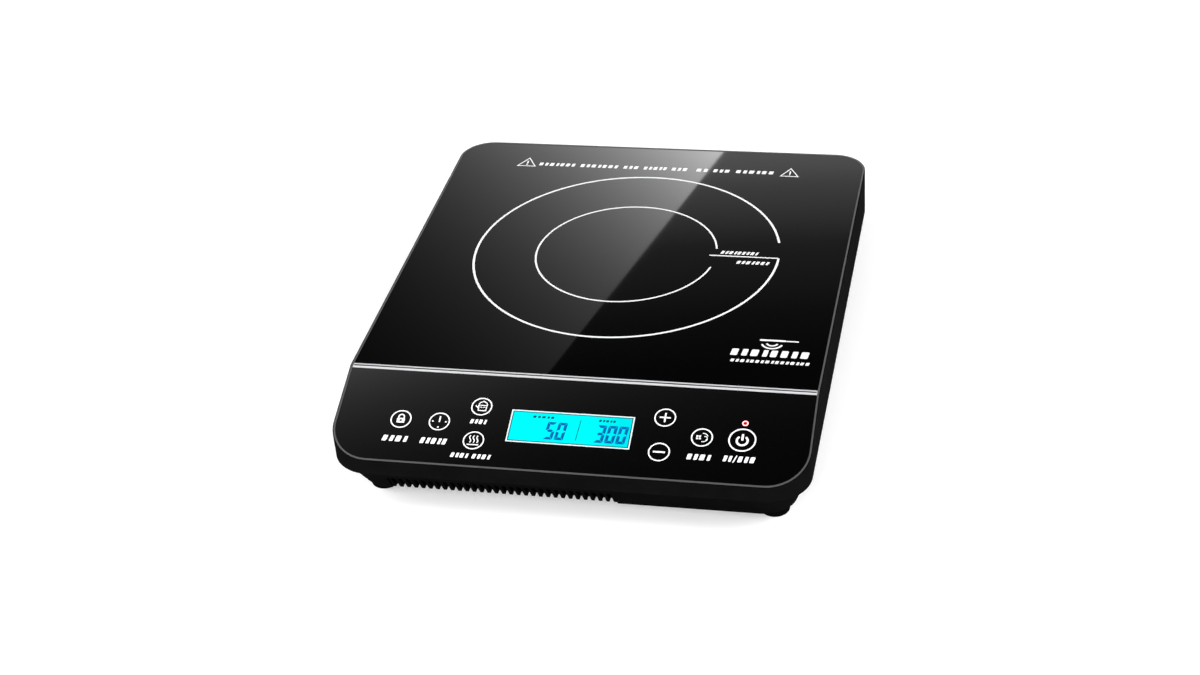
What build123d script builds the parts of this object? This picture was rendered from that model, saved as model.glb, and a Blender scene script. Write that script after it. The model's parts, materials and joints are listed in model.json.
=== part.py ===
from build123d import *
import os
from math import cos, hypot, radians, sin, tan

# Portable single-zone induction cooktop. Millimetres, X to the right, Y to the back, Z up,
# origin on the table, under the middle of the outline.

os.makedirs("parts", exist_ok=True)

LOW = (Align.CENTER, Align.CENTER, Align.MIN)
HIGH = (Align.CENTER, Align.CENTER, Align.MAX)

# ---- driving dimensions ---------------------------------------------------------------
width = 290
depth = 356
height = 64                # table to the cooking plate's top face
rear_corner = 22.5         # plan radii of the outline
front_corner = 26
panel_run = 66.3           # the control panel's length in plan
panel_slope = 18.7         # degrees that it falls towards the front
front_wall = 10            # height of the upper casing's wall at the front
foot_height = 8
foot_radius = 9
foot_round = 1.2           # rounded lower edge
foot_side = 24             # foot centre, in from the outline
foot_end = 35

# upper casing, glass and trims
upper_wall = 2.5
lip = 0.6                  # casing wall left outside the edge trim
trim_width = 1.0
trim_proud = 0.2
glass = 4.0                # thickness of the cooking plate and of the panel
glass_gap = 0.2            # round the edge of the glass
seal = 0.8
ledge = 2.5                # shelf that carries the glass
ledge_side = 22            # its inner edge, in from the outline
ledge_end = 12
ledge_corner = 8
crossbar = 20              # bar of the shelf under the fold
strip_width = 3.4
strip_proud = 0.2
strip_groove = 1.1
smallest_corner = 3

# lower casing
lower_wall = 2.2
floor = 2.0
seam_step = 4              # the lower casing stands in from the upper one at the seam
side_taper = 6.5           # and tapers in towards the floor
front_taper = 14.8
lower_corner = 20
tongue_gap = 0.5           # from the tongue's top to the shelf at the front
vent_count = 30
vent_pitch = 4.59
vent_slot = 2.6
vent_x = -41.4             # middle of the row of slots
vent_margin = 10           # from the slots' top to the seam
vent_wrap = 4.8            # the slots run this far back along the floor
vent_recess = 1.0
vent_border = 1.0
rear_vent_count = 24
rear_vent_x = -20
rear_vent_margin = 4

# bosses and screws
boss_radius = 4.5
boss_side = 17.5             # case boss, in from the outline
boss_end = 50
boss_split = 12            # its joint, above the table
screw_radius = 1.5
screw_head = 2.8
screw_head_height = 2.0
screw_bite = 9
screw_clearance = 0.2
small_screw = 1.2
small_head = 2.2
small_head_height = 1.5
small_bite = 5
foot_boss_height = 8

# induction coil
coil_y = 34.3              # middle of the cooking zone
mica = 0.6
mica_gap = 0.1             # under the cooking plate
winding_inner = 22
winding_outer = 88
winding_height = 5
turn_pitch = 3.3
former_radius = 92
former = 3
former_arm = 96            # fixing holes
former_tab = 6
former_turns = (60, 180, 300)
ferrite = 5
ferrite_width = 10
ferrite_start = 30
ferrite_end = 80
ferrite_count = 8
ferrite_turn = 15          # of the first bar
sensor_radius = 8
bead_radius = 2.4
bead_height = 3
lead_hole = 2.5

# main board
board_width = 145
board_side = 24            # its right edge, in from the outline
board_front = 78
board_gap = 5              # from its rear edge to the fan
board_lift = 6             # above the floor
board = 1.6
board_corner = 5           # fixing holes, in from its corners
standoff_radius = 3.5
post_clearance = 1.5
coil_air = 8               # left under the coil for the air

# fan
fan_size = 80
fan_side = 30              # its frame, in from the outline
fan_end = 33
fan_lift = 2
fan_wall = 2.5             # round its bore
fan_hole = 4.5             # screw centre, in from the corner
fan_web = 2
fan_tube = 4
fan_head = 6               # from the bearing's top to the frame's top
bearing_radius = 2.5
shaft_radius = 1.5
running_clearance = 0.05
hub_radius = 16
hub_wall = 1.5
hub_gap = 1.0
magnet = 2.5
stator_radius = 10
stator_slots = 4
stator_slot = 1.6
blade_count = 7
blade = 1.4
blade_tilt = 38
blade_gap = 1.2
grille_pitch = 6
grille_slot = 3.2

# control board, display and keys
carrier_side = 27           # its end, in from the outline
carrier_start = 4          # along the slope
carrier_end = 64
carrier = 2
carrier_hole_side = 35
carrier_hole_start = 7
carrier_hole_end = 61
key_gap = 6.4              # from the panel's underside to the control board
control_board_start = 14
control_board_end = 57.5
outer_key_edge = 41.4      # key columns, in from the outline
inner_key_step = 24
pair_key_x = 56
upper_row = 24.9
middle_row = 37.4
lower_row = 49.6
spring_radius = 5
spring_wall = 0.6
led_row = 25.4
led_radius = 1.6
led_height = 2.5
display_x = 0.7
display_row = 37.7
display_width = 75
display_length = 23.4
display_frame = 2
display_glass = 2
display_gap = 0.3

# cord gland
gland_x = 95
gland_bore = 3.6
gland_radius = 5.4
gland_fit = 0.1
gland_flange = 7.5
gland_flange_length = 2
gland_length = 14
gland_pad = 9

# ---- places that follow from them --------------------------------------------------------
fold_y = -depth / 2 + panel_run
panel_end = panel_run / cos(radians(panel_slope))
seam_z = height - panel_run * tan(radians(panel_slope)) - front_wall
seat = glass + seal
tongue = (                 # the lower wall rises this far inside the upper casing
    front_wall
    + seam_step * tan(radians(panel_slope))
    - (seat + ledge) / cos(radians(panel_slope))
    - tongue_gap
)
floor_top = foot_height + floor
glass_inset = lip + trim_width + glass_gap
mica_top = height - glass - mica_gap
winding_top = mica_top - mica
former_top = winding_top - winding_height
former_under = former_top - former
ferrite_under = former_under - ferrite
board_z = floor_top + board_lift
board_top = board_z + board
board_x = width / 2 - board_side - board_width / 2
board_depth = depth - board_front - board_gap - fan_size - fan_end
board_y = -depth / 2 + board_front + board_depth / 2
fan_x = -width / 2 + fan_side + fan_size / 2
fan_y = depth / 2 - fan_end - fan_size / 2
fan_bore = fan_size / 2 - fan_wall
fan_z = floor_top + fan_lift
fan_height = ferrite_under - coil_air - fan_z
control_top = glass + key_gap
carrier_top = control_top + board
outer_key_x = width / 2 - outer_key_edge
inner_key_x = outer_key_x - inner_key_step
gland_z = (foot_height + seam_z) / 2

panel_plane = Plane(
    origin=(0, fold_y, height),
    x_dir=(1, 0, 0),
    z_dir=(0, -sin(radians(panel_slope)), cos(radians(panel_slope))),
)

case_bosses = [
    (side * (width / 2 - boss_side), end * (depth / 2 - boss_end))
    for side in (-1, 1)
    for end in (-1, 1)
]
foot_places = [
    (side * (width / 2 - foot_side), end * (depth / 2 - foot_end))
    for side in (-1, 1)
    for end in (-1, 1)
]
board_holes = [
    (
        board_x + side * (board_width / 2 - board_corner),
        board_y + end * (board_depth / 2 - board_corner),
    )
    for side in (-1, 1)
    for end in (-1, 1)
]
coil_posts = [
    (former_arm * cos(radians(turn)), coil_y + former_arm * sin(radians(turn)))
    for turn in former_turns
]
fan_holes = [
    (
        fan_x + side * (fan_size / 2 - fan_hole),
        fan_y + end * (fan_size / 2 - fan_hole),
    )
    for side in (-1, 1)
    for end in (-1, 1)
]
carrier_holes = [
    (side * (width / 2 - carrier_hole_side), -row)
    for side in (-1, 1)
    for row in (carrier_hole_start, carrier_hole_end)
]
keys = [
    (-outer_key_x, -middle_row),
    (-inner_key_x, -middle_row),
    (-pair_key_x, -upper_row),
    (-pair_key_x, -lower_row),
    (pair_key_x, -upper_row),
    (pair_key_x, -lower_row),
    (inner_key_x, -middle_row),
    (outer_key_x, -middle_row),
]


# ---- shared shapes ------------------------------------------------------------------------
def plan(inset):
    """The cooktop's plan outline, moved in by inset."""
    with BuildSketch() as outline:
        Rectangle(width - 2 * inset, depth - 2 * inset)
        fillet(outline.vertices().group_by(Axis.Y)[-1], max(rear_corner - inset, smallest_corner))
        fillet(outline.vertices().group_by(Axis.Y)[0], max(front_corner - inset, smallest_corner))
    return outline.sketch


def under(drop):
    """Side profile of the plate and the panel, moved down by drop square to each face."""
    slope = radians(panel_slope)
    reach = panel_end + height
    return [
        (depth, height - drop),
        (fold_y + drop * tan(slope / 2), height - drop),
        (
            fold_y - reach * cos(slope) + drop * sin(slope),
            height - reach * sin(slope) - drop * cos(slope),
        ),
    ]


def layer(inset, top, bottom):
    """A sheet that follows the plate and the panel, from one depth below them to another."""
    with BuildPart() as sheet:
        with BuildSketch(Plane.YZ.offset(-width)):
            with BuildLine():
                Polyline(*under(top), *reversed(under(bottom)), close=True)
            make_face()
        extrude(amount=2 * width)
        with BuildSketch():
            add(plan(inset))
        extrude(amount=2 * height, mode=Mode.INTERSECT)
    return sheet.part


def shelf_openings():
    """What the shelf leaves open under the plate and under the panel."""
    half = width / 2 - ledge_side
    rear = depth / 2 - ledge_end
    with BuildSketch() as openings:
        for low, high in ((fold_y + crossbar / 2, rear), (-rear, fold_y - crossbar / 2)):
            with Locations((0, (low + high) / 2)):
                RectangleRounded(2 * half, high - low, ledge_corner)
    return openings.sketch


def lower_outline(level, inset):
    """The lower casing's outline at a height, moved in by inset."""
    rise = (level - foot_height) / (seam_z - foot_height)
    side = seam_step + side_taper * (1 - rise) + inset
    front = seam_step + front_taper * (1 - rise) + inset
    with BuildSketch() as outline:
        with Locations((0, (front - side) / 2)):
            RectangleRounded(width - 2 * side, depth - side - front, lower_corner - inset)
    return outline.sketch


def lower_block(bottom, inset):
    """The lower casing's tapered outside, from bottom to the seam, moved in by inset."""
    with BuildPart() as block:
        for level in (bottom, seam_z):
            with BuildSketch(Plane.XY.offset(level)):
                add(lower_outline(level, inset))
        loft(ruled=True)
    return block.part


def screw(head, head_height, shank, length):
    """A pan-head screw that points up, with its head's underside at the origin."""
    with BuildPart() as blank:
        Cylinder(head, head_height, align=HIGH)
        fillet(blank.edges().sort_by(Axis.Z)[0], head_height * 0.4)
        with BuildSketch(Plane.XY.offset(-head_height)):
            Rectangle(head * 1.1, head * 0.3)
            Rectangle(head * 0.3, head * 1.1)
        extrude(amount=head_height / 2, mode=Mode.SUBTRACT)
        Cylinder(shank, length, align=LOW)
        chamfer(blank.edges().sort_by(Axis.Z)[-1], shank * 0.4)
    return blank.part


def down(x, y, z):
    """A place whose Z points down."""
    return Location((x, y, z), (180, 0, 0))


def lead(points, radius, bend):
    """A round wire along straight runs joined by arcs."""
    with BuildPart() as wire:
        with BuildLine() as path:
            FilletPolyline(*points, radius=bend)
        with BuildSketch(path.line ^ 0):
            Circle(radius)
        sweep()
    return wire.part


# ---- outer shells ---------------------------------------------------------------------------
with BuildPart() as upper_casing:
    add(layer(0, 0, 2 * height))
    split(bisect_by=Plane.XY.offset(seam_z), keep=Keep.TOP)
    add(layer(upper_wall, seat + ledge, 2 * height), mode=Mode.SUBTRACT)
    with BuildSketch(Plane.XY.offset(boss_split)):
        with Locations(*case_bosses):
            Circle(boss_radius)
    extrude(amount=height - boss_split - seat - ledge / 2)
    with BuildSketch(panel_plane.offset(-seat - ledge / 2)):
        with Locations(*carrier_holes):
            Circle(standoff_radius)
    extrude(amount=seat + ledge / 2 - carrier_top)
    add(layer(-1, -height, seat), mode=Mode.SUBTRACT)
    add(layer(0, 0, seat))
    add(layer(lip, -1, seat), mode=Mode.SUBTRACT)
    with BuildSketch(panel_plane.offset(-carrier_top)):
        with Locations(*carrier_holes):
            Circle(small_screw)
    extrude(amount=small_bite / 2, mode=Mode.SUBTRACT)
    with BuildSketch():
        add(shelf_openings())
        with Locations(*case_bosses):
            Circle(boss_radius, mode=Mode.SUBTRACT)
    extrude(amount=2 * height, mode=Mode.SUBTRACT)
    with BuildSketch(Plane.XY.offset(boss_split)):
        with Locations(*case_bosses):
            Circle(screw_radius)
    extrude(amount=screw_bite + 1, mode=Mode.SUBTRACT)

with BuildPart() as lower_casing:
    add(lower_block(foot_height, 0))
    add(lower_block(floor_top, lower_wall), mode=Mode.SUBTRACT)
    with BuildSketch(Plane.XY.offset(seam_z)):
        add(lower_outline(seam_z, 0))
        add(lower_outline(seam_z, lower_wall), mode=Mode.SUBTRACT)
    extrude(amount=tongue)
    with BuildSketch(Plane.XY.offset(floor_top)):
        with Locations(*case_bosses):
            Circle(boss_radius)
    extrude(amount=boss_split - floor_top)
    with BuildSketch(Plane.XY.offset(floor_top)):
        with Locations(*foot_places):
            Circle(boss_radius)
    extrude(amount=foot_boss_height)
    with BuildSketch(Plane.XY.offset(floor_top)):
        with Locations(*coil_posts):
            Circle(boss_radius)
    extrude(amount=former_under - floor_top)
    with BuildSketch(Plane.XY.offset(floor_top)):
        with Locations(*board_holes):
            Circle(standoff_radius)
    extrude(amount=board_lift)
    with BuildSketch(Plane.XY.offset(floor_top)):
        with Locations(*fan_holes):
            Circle(standoff_radius)
    extrude(amount=fan_lift)
    # pad for the cord gland
    with BuildSketch(Plane.XZ.offset(-(depth / 2 - seam_step))):
        with Locations((gland_x, gland_z)):
            Circle(gland_pad)
    extrude(amount=gland_length - gland_flange_length)
    with BuildSketch(Plane.XZ.offset(-depth / 2)):
        with Locations((gland_x, gland_z)):
            Circle(gland_radius + gland_fit)
    extrude(amount=gland_length + seam_step + side_taper, mode=Mode.SUBTRACT)
    # clearance holes and head pockets for the case screws, pilot holes for the others
    with BuildSketch(Plane.XY.offset(foot_height)):
        with Locations(*case_bosses):
            Circle(screw_radius + screw_clearance)
        with Locations(*foot_places):
            Circle(screw_radius)
    extrude(amount=foot_boss_height, mode=Mode.SUBTRACT)
    with BuildSketch(Plane.XY.offset(foot_height)):
        with Locations(*case_bosses):
            Circle(screw_head + screw_clearance)
    extrude(amount=screw_head_height, mode=Mode.SUBTRACT)
    with BuildSketch(Plane.XY.offset(former_under)):
        with Locations(*coil_posts):
            Circle(screw_radius)
    extrude(amount=-screw_bite, mode=Mode.SUBTRACT)
    with BuildSketch(Plane.XY.offset(board_z)):
        with Locations(*board_holes):
            Circle(small_screw)
    extrude(amount=-small_bite, mode=Mode.SUBTRACT)
    with BuildSketch(Plane.XY.offset(fan_z)):
        with Locations(*fan_holes):
            Circle(small_screw)
    extrude(amount=-(fan_lift + floor / 2), mode=Mode.SUBTRACT)
    # vent in the front wall: a shallow recess with a slanted end, and slots that wrap under
    front_face = Plane(
        origin=(0, -depth / 2 + seam_step + front_taper, foot_height),
        x_dir=(1, 0, 0),
        z_dir=(0, foot_height - seam_z, -front_taper),
    )
    vent_half = vent_count * vent_pitch / 2
    vent_rise = hypot(seam_z - vent_margin - foot_height, front_taper / 2)
    with BuildSketch(front_face):
        with BuildLine():
            Polyline(
                (vent_x - vent_half - vent_border, -vent_wrap),
                (vent_x + vent_half + vent_border, -vent_wrap),
                (vent_x + vent_half + 3 * vent_border, vent_rise),
                (vent_x - vent_half - vent_border, vent_rise),
                close=True,
            )
        make_face()
    extrude(amount=-vent_recess, mode=Mode.SUBTRACT)
    with BuildSketch(Plane.XZ.offset(depth / 2)):
        with Locations((vent_x, (seam_z - vent_margin) / 2)):
            with GridLocations(vent_pitch, 0, vent_count, 1):
                Rectangle(vent_slot, seam_z - vent_margin)
    extrude(amount=-(seam_step + front_taper + vent_wrap), mode=Mode.SUBTRACT)
    with BuildSketch(Plane.XZ.offset(-depth / 2)):
        with Locations((rear_vent_x, (floor_top + seam_z) / 2)):
            with GridLocations(vent_pitch, 0, rear_vent_count, 1):
                SlotOverall(seam_z - floor_top - 2 * rear_vent_margin, vent_slot, rotation=90)
    extrude(amount=seam_step + side_taper + 2 * lower_wall, mode=Mode.SUBTRACT)
    # intake grille under the fan
    grille_rows = int(fan_bore / grille_pitch)
    with BuildSketch(Plane.XY.offset(foot_height)):
        for row in range(-grille_rows, grille_rows + 1):
            chord = (fan_bore**2 - (row * grille_pitch) ** 2) ** 0.5
            with Locations((fan_x, fan_y + row * grille_pitch)):
                SlotOverall(2 * chord, grille_slot)
        with Locations((fan_x, fan_y)):
            Rectangle(grille_slot, 2 * fan_bore, mode=Mode.SUBTRACT)
    extrude(amount=floor, mode=Mode.SUBTRACT)

with BuildPart() as cooking_plate:
    add(layer(glass_inset, 0, glass))
    with BuildSketch():
        with Locations((0, fold_y + strip_width / 2 + glass_gap)):
            Rectangle(2 * width, depth, align=(Align.CENTER, Align.MIN))
    extrude(amount=2 * height, mode=Mode.INTERSECT)

with BuildPart() as control_panel:
    add(layer(glass_inset, 0, glass))
    with BuildSketch():
        with Locations((0, fold_y - strip_width / 2 - glass_gap)):
            Rectangle(2 * width, depth, align=(Align.CENTER, Align.MAX))
    extrude(amount=2 * height, mode=Mode.INTERSECT)

with BuildPart() as edge_trim:
    add(layer(lip, -trim_proud, seat))
    add(layer(lip + trim_width, -height, 2 * height), mode=Mode.SUBTRACT)

with BuildPart() as trim_strip:
    add(layer(glass_inset, -strip_proud, seat))
    with BuildSketch():
        with Locations((0, fold_y)):
            Rectangle(2 * width, strip_width)
    extrude(amount=2 * height, mode=Mode.INTERSECT)
    with BuildSketch(Plane.XY.offset(height + strip_proud)):
        with Locations((0, fold_y)):
            Rectangle(2 * width, strip_groove)
    extrude(amount=-2 * strip_proud, mode=Mode.SUBTRACT)

with BuildPart() as plate_seal:
    add(layer(glass_inset, glass, seat))
    with BuildSketch():
        with Locations((0, fold_y + strip_width / 2 + glass_gap)):
            Rectangle(2 * width, depth, align=(Align.CENTER, Align.MIN))
        add(shelf_openings(), mode=Mode.SUBTRACT)
    extrude(amount=2 * height, mode=Mode.INTERSECT)

with BuildPart() as panel_seal:
    add(layer(glass_inset, glass, seat))
    with BuildSketch():
        with Locations((0, fold_y - strip_width / 2 - glass_gap)):
            Rectangle(2 * width, depth, align=(Align.CENTER, Align.MAX))
        add(shelf_openings(), mode=Mode.SUBTRACT)
    extrude(amount=2 * height, mode=Mode.INTERSECT)

foot_pocket = screw_head + screw_clearance
with BuildPart() as feet:
    with BuildSketch():
        with Locations(*foot_places):
            Circle(foot_radius)
    extrude(amount=foot_height)
    fillet(feet.edges().filter_by(GeomType.CIRCLE).group_by(Axis.Z)[0], foot_round)
    with BuildSketch():
        with Locations(*foot_places):
            Circle(foot_pocket)
    extrude(amount=foot_height / 2, mode=Mode.SUBTRACT)
    with BuildSketch():
        with Locations(*foot_places):
            Circle(screw_radius)
    extrude(amount=foot_height, mode=Mode.SUBTRACT)

with BuildPart() as foot_screws:
    foot_screw = screw(screw_head, screw_head_height, screw_radius, foot_height / 2 + screw_bite - 2)
    with Locations(*[(x, y, foot_height / 2) for x, y in foot_places]):
        add(foot_screw)

with BuildPart() as case_screws:
    seat_z = foot_height + screw_head_height
    case_screw = screw(screw_head, screw_head_height, screw_radius, boss_split - seat_z + screw_bite)
    with Locations(*[(x, y, seat_z) for x, y in case_bosses]):
        add(case_screw)

with BuildPart() as cord_gland:
    with BuildSketch(Plane.XZ.offset(-(depth / 2 - seam_step + gland_flange_length))):
        with Locations((gland_x, gland_z)):
            Circle(gland_flange)
    extrude(amount=gland_flange_length)
    fillet(cord_gland.edges().sort_by(Axis.Y)[-1], gland_flange_length / 2)
    with BuildSketch(Plane.XZ.offset(-(depth / 2 - seam_step + gland_flange_length))):
        with Locations((gland_x, gland_z)):
            Circle(gland_radius)
    extrude(amount=gland_length)
    with BuildSketch(Plane.XZ.offset(-depth / 2)):
        with Locations((gland_x, gland_z)):
            Circle(gland_bore)
    extrude(amount=2 * gland_length, mode=Mode.SUBTRACT)

# ---- induction coil ---------------------------------------------------------------------------
with BuildPart() as mica_sheet:
    with Locations((0, coil_y, mica_top)):
        Cylinder(former_radius, mica, align=HIGH)
        Cylinder(sensor_radius + 1, mica, align=HIGH, mode=Mode.SUBTRACT)

with BuildPart() as coil_winding:
    turns = int((winding_outer - winding_inner) / turn_pitch)
    with BuildSketch(Plane.XZ):
        for turn in range(turns):
            start = winding_inner + turn * turn_pitch
            with BuildLine():
                Polyline(
                    (start, former_top),
                    (start + turn_pitch, former_top),
                    (start + turn_pitch, winding_top - winding_height / 6),
                    (start + turn_pitch / 2, winding_top),
                    (start, winding_top - winding_height / 6),
                    close=True,
                )
            make_face()
    revolve(axis=Axis.Z)
coil_winding.part = coil_winding.part.translate((0, coil_y, 0))

with BuildPart() as coil_former:
    with BuildSketch(Plane.XY.offset(former_under)):
        with Locations((0, coil_y)):
            Circle(former_radius)
        for place, turn in zip(coil_posts, former_turns):
            with Locations(Location((*place, 0), turn)):
                SlotOverall(3 * former_tab, 2 * former_tab)
        with Locations(*coil_posts):
            Circle(screw_radius, mode=Mode.SUBTRACT)
        with Locations((0, coil_y)):
            Circle(lead_hole, mode=Mode.SUBTRACT)
    extrude(amount=former)

with BuildPart() as ferrite_bars:
    with Locations((0, coil_y, former_under)):
        with PolarLocations((ferrite_start + ferrite_end) / 2, ferrite_count, ferrite_turn):
            Box(ferrite_end - ferrite_start, ferrite_width, ferrite, align=HIGH)

with BuildPart() as sensor_cap:
    with Locations((0, coil_y, former_top)):
        Cylinder(sensor_radius, mica_top - former_top, align=LOW)
        Cylinder(lead_hole, mica_top - former_top, align=LOW, mode=Mode.SUBTRACT)

with BuildPart() as temperature_sensor:
    with Locations((0, coil_y, mica_top)):
        Cylinder(bead_radius, bead_height, align=HIGH)

with BuildPart() as coil_screws:
    coil_screw = screw(screw_head, screw_head_height, screw_radius, former + screw_bite)
    with Locations(*[down(x, y, former_top) for x, y in coil_posts]):
        add(coil_screw)

# ---- main board and what stands on it ------------------------------------------------------------
with BuildPart() as main_board:
    with BuildSketch(Plane.XY.offset(board_z)):
        with Locations((board_x, board_y)):
            Rectangle(board_width, board_depth)
        with Locations(*board_holes):
            Circle(small_screw, mode=Mode.SUBTRACT)
        with Locations(*coil_posts):
            Circle(boss_radius + post_clearance, mode=Mode.SUBTRACT)
    extrude(amount=board)

with BuildPart() as board_screws:
    board_screw = screw(small_head, small_head_height, small_screw, board + small_bite)
    with Locations(*[down(x, y, board_top) for x, y in board_holes]):
        add(board_screw)


def on_board(x, y):
    """A place on the main board, from its middle."""
    return (board_x + x, board_y + y, board_top)


sink_width = 60
sink_depth = 42
sink_base = 5
sink_fins = 9
sink_fin = 1.6
sink_x = 40
sink_edge = 32             # its middle, in from the board's rear edge
sink_y = board_depth / 2 - sink_edge
sink_height = ferrite_under - coil_air - board_top
with BuildPart() as heat_sink:
    with Locations(on_board(sink_x, sink_y)):
        Box(sink_width, sink_depth, sink_height, align=LOW)
    fin_pitch = (sink_width - sink_fin) / (sink_fins - 1)
    with BuildSketch(Plane.XZ.offset(-(board_y + sink_y + sink_depth / 2))):
        with Locations((board_x + sink_x, board_top + sink_height)):
            with GridLocations(fin_pitch, 0, sink_fins - 1, 1):
                Rectangle(fin_pitch - sink_fin, 2 * sink_height)
    extrude(amount=sink_depth - sink_base, mode=Mode.SUBTRACT)

package_width = 15.5
package_height = 15
package_thickness = 4.5
package_lift = 2
package_leg = 1.2
package_x = (26, 52)
sink_face_y = sink_y - sink_depth / 2


def package(x):
    """A power package with three legs, flat against the heat sink's front face."""
    with BuildPart() as body:
        with Locations(on_board(x, sink_face_y - package_thickness / 2)):
            with Locations((0, 0, package_lift)):
                Box(package_width, package_thickness, package_height, align=LOW)
            with GridLocations(package_width / 3, 0, 3, 1):
                Box(package_leg, package_leg / 2, package_lift, align=LOW)
    return body.part


with BuildPart() as power_transistor:
    add(package(package_x[0]))

with BuildPart() as bridge_rectifier:
    add(package(package_x[1]))

film_length = 31
film_width = 13
film_height = 16
film_edge = 0.8
film_places = ((-38, 22), (-38, 4))
with BuildPart() as film_capacitors:
    for x, y in film_places:
        with Locations(on_board(x, y)):
            Box(film_length, film_width, film_height, align=LOW)
    chamfer(film_capacitors.edges().filter_by(Axis.Z), film_edge)

choke_edge = 36            # its middle, in from the board's front edge
choke_place = (34, choke_edge - board_depth / 2)
choke_outer = 13
choke_inner = 6
choke_height = 12
choke_round = 2
with BuildPart() as choke:
    with Locations(on_board(*choke_place)):
        Cylinder(choke_outer, choke_height, align=LOW)
        Cylinder(choke_inner, choke_height, align=LOW, mode=Mode.SUBTRACT)
    fillet(choke.edges().filter_by(GeomType.CIRCLE), choke_round)

transformer_edge = 26
transformer_place = (-44, transformer_edge - board_depth / 2)
transformer_width = 24
transformer_depth = 20
transformer_height = 15
transformer_yoke = 4
transformer_core = 16
with BuildPart() as transformer:
    with Locations(on_board(*transformer_place)):
        Box(transformer_core, transformer_depth, transformer_height, align=LOW)
        for lift in (0, transformer_height - transformer_yoke):
            with Locations((0, 0, lift)):
                Box(transformer_width, transformer_depth, transformer_yoke, align=LOW)

can_edge = 18
can_places = [(x, can_edge - board_depth / 2) for x in (-18, -4)]
can_radius = 5
can_height = 14
can_round = 0.8
with BuildPart() as electrolytic_capacitors:
    for x, y in can_places:
        with Locations(on_board(x, y)):
            Cylinder(can_radius, can_height, align=LOW)
    fillet(electrolytic_capacitors.edges().group_by(Axis.Z)[-1], can_round)

fuse_edge = 14
fuse_place = (56, fuse_edge - board_depth / 2)
fuse_length = 22
fuse_width = 5.2
fuse_lift = 1
fuse_clip = 2
fuse_clip_x = 8
with BuildPart() as fuse:
    with Locations(on_board(*fuse_place)):
        with Locations((0, 0, fuse_lift)):
            Box(fuse_length, fuse_width, fuse_width, align=LOW)
        for x in (-fuse_clip_x, fuse_clip_x):
            with Locations((x, 0, 0)):
                Box(fuse_clip, fuse_width / 2, fuse_lift, align=LOW)

protector_place = (60, -22)
protector_radius = 6
protector_thickness = 4
protector_lift = 1         # its disc, above the board
protector_leg = 0.8
protector_leg_x = 2.5
with BuildPart() as surge_protector:
    disc_z = protector_lift + protector_radius
    with Locations(on_board(*protector_place)):
        with Locations((0, 0, disc_z)):
            Cylinder(protector_radius, protector_thickness, rotation=(90, 0, 0))
        for x in (-protector_leg_x, protector_leg_x):
            with Locations((x, 0, 0)):
                Box(protector_leg, protector_leg, disc_z / 2, align=LOW)

post_radius = 3
post_height = 9
post_gap = 16              # from the winding to the middle of a terminal
post_reach = winding_outer + post_gap
post_turns = (-37, -50)
post_places = [
    (post_reach * cos(radians(turn)), coil_y + post_reach * sin(radians(turn)))
    for turn in post_turns
]
with BuildPart() as coil_terminals:
    for x, y in post_places:
        with Locations((x, y, board_top)):
            Cylinder(post_radius, post_height, align=LOW)

socket_length = 8
socket_width = 6
socket_height = 8
ribbon_socket_length = 22
sensor_socket = (-board_x, coil_y - board_y)
ribbon_socket_edge = 8
ribbon_socket = (-26, ribbon_socket_edge - board_depth / 2)
fan_socket_edge = 10
fan_socket = (-62, board_depth / 2 - fan_socket_edge)
with BuildPart() as board_sockets:
    for place in (sensor_socket, fan_socket):
        with Locations(on_board(*place)):
            Box(socket_length, socket_width, socket_height, align=LOW)
    with Locations(on_board(*ribbon_socket)):
        Box(ribbon_socket_length, socket_width, socket_height, align=LOW)

buzzer_place = (-60, -20)
buzzer_radius = 6
buzzer_height = 8
buzzer_hole = 1.2
with BuildPart() as buzzer:
    with Locations(on_board(*buzzer_place)):
        Cylinder(buzzer_radius, buzzer_height, align=LOW)
        with Locations((0, 0, buzzer_height)):
            Cylinder(buzzer_hole, buzzer_height / 4, align=HIGH, mode=Mode.SUBTRACT)

# ---- wiring ------------------------------------------------------------------------------------
wire_radius = 1.4
wire_bend = 5
lead_gap = 0.4             # a lead's end, from what it plugs into
with BuildPart() as coil_leads:
    wire_z = (former_top + winding_top) / 2
    for turn, (x, y) in zip(post_turns, post_places):
        touch_x = winding_outer * cos(radians(turn))
        touch_y = coil_y + winding_outer * sin(radians(turn))
        add(
            lead(
                [
                    (x, y, board_top + post_height),
                    (x, y, wire_z),
                    (touch_x, touch_y, wire_z),
                ],
                wire_radius,
                wire_bend,
            )
        )

sensor_wire = 1
with BuildPart() as sensor_lead:
    with Locations((0, coil_y, board_top + socket_height)):
        Cylinder(sensor_wire, mica_top - bead_height - board_top - socket_height, align=LOW)

fan_wire = 1
fan_wire_bend = 2.5
with BuildPart() as fan_lead:
    lead_x = fan_x + fan_size / 4
    socket_x = board_x + fan_socket[0]
    socket_y = board_y + fan_socket[1]
    socket_top = board_top + socket_height
    add(
        lead(
            [
                (lead_x, fan_y - fan_size / 2 - lead_gap, fan_z + fan_height / 2),
                (lead_x, socket_y, socket_top + 2 * fan_wire_bend),
                (socket_x, socket_y, socket_top + 2 * fan_wire_bend),
                (socket_x, socket_y, socket_top),
            ],
            fan_wire,
            fan_wire_bend,
        )
    )

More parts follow.
